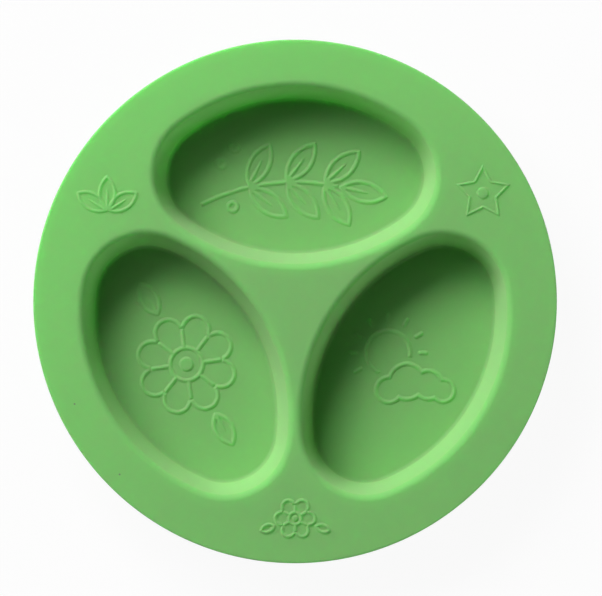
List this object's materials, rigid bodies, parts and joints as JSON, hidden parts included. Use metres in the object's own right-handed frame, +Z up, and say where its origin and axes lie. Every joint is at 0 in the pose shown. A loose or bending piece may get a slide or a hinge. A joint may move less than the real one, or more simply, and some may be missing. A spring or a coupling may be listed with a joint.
{
  "type": "divided silicone plate",
  "caption": "Round green plate moulded in one piece of silicone: a flat rim, oval wells for food and a low line relief of plants and sky.",
  "frame": {"origin": "under the centre of the plate, on the surface that it stands on", "axes": "+Z up out of the wells, +Y through the middle of the first well"},
  "size_m": [0.215, 0.215, 0.0266],
  "materials": {
    "silicone": "matte"
  },
  "bodies": {
    "root": {"plate": "silicone"}
  },
  "joints": []
}
